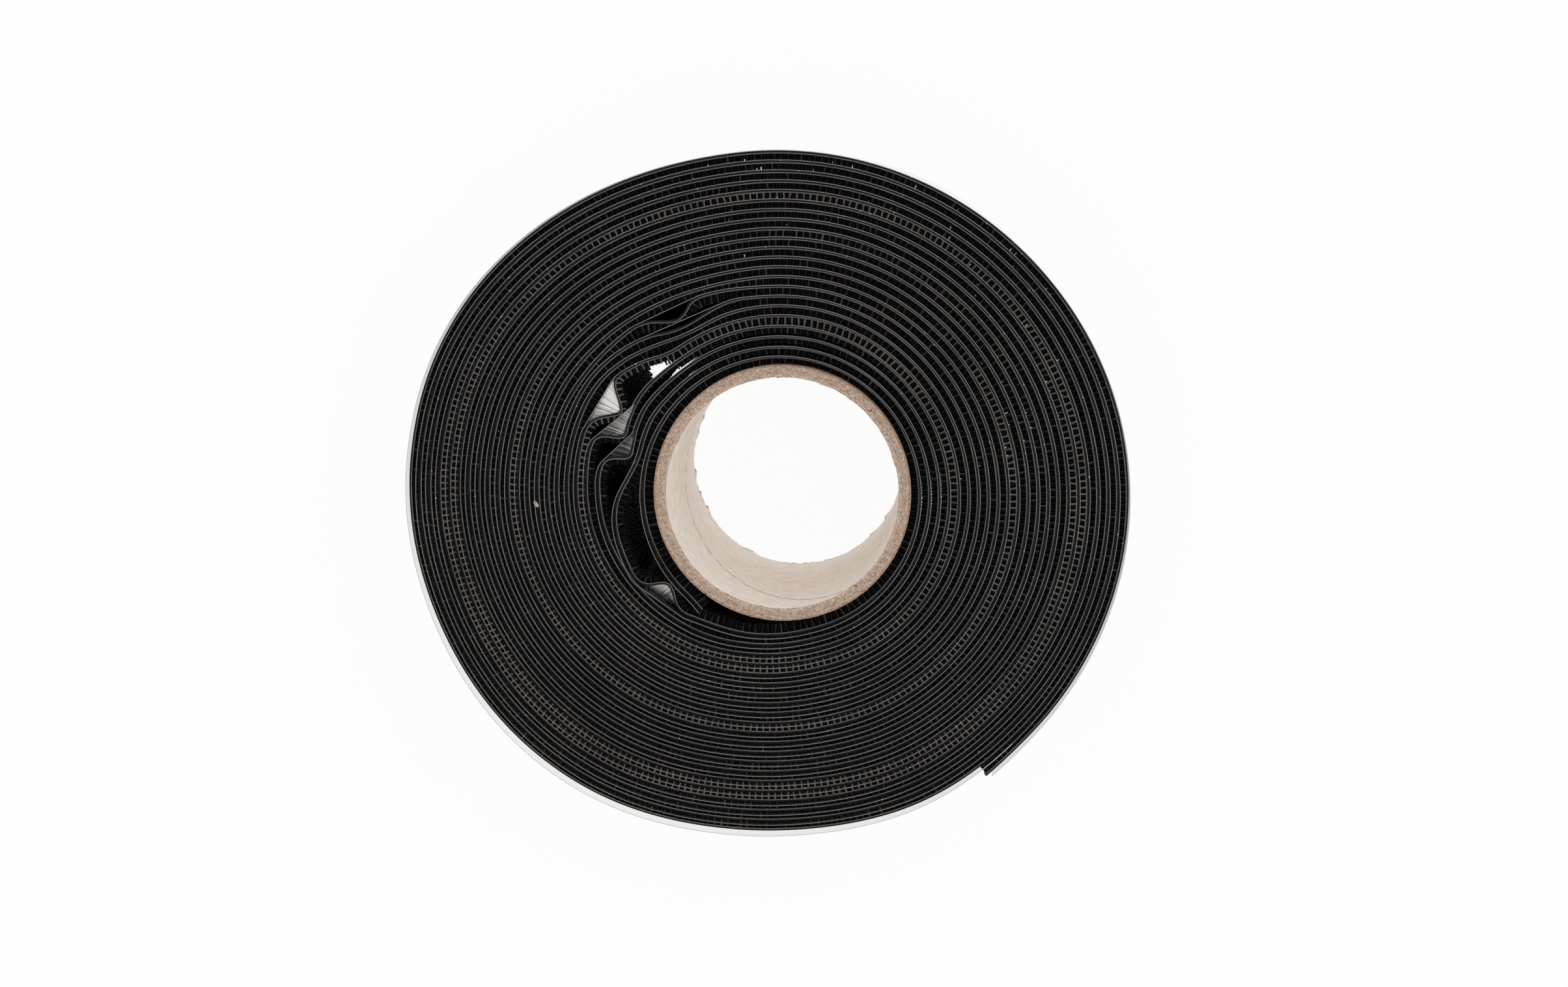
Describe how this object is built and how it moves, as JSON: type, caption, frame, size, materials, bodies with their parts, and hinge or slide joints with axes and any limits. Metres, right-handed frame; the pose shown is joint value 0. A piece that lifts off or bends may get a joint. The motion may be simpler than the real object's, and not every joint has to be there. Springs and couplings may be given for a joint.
{
  "type": "hook tape roll",
  "caption": "Roll of black self-adhesive hook tape, wound with its clear release liner on a card core; the inner turns have buckled on one side.",
  "frame": {"origin": "on the core's axis, in the plane that the roll lies on", "axes": "+Z along the core's axis, up from the surface that the roll lies on; the buckled side of the winding is towards -X and the tape's loose outer end towards +X -Y"},
  "size_m": [0.1083, 0.1038, 0.042],
  "materials": {
    "hook_tape": "black moulded web, glossy where the adhesive coat shows",
    "liner": "clear film",
    "bore_paper": "pale fibrous paper",
    "core_board": "grey-brown board with torn fibres at its cut ends",
    "outer_paper": "kraft paper"
  },
  "bodies": {
    "winding": {"hook_tape": "hook_tape", "release_liner": "liner"},
    "core": {"core_inner_ply": "bore_paper", "core_board_ply_1": "core_board", "core_board_ply_2": "core_board", "core_outer_ply": "outer_paper"}
  },
  "joints": [
    {"name": "core_slide", "type": "slide", "parent": "winding", "child": "core", "axis": [0, 0, 1], "range_m": [0, 0.042]}
  ]
}
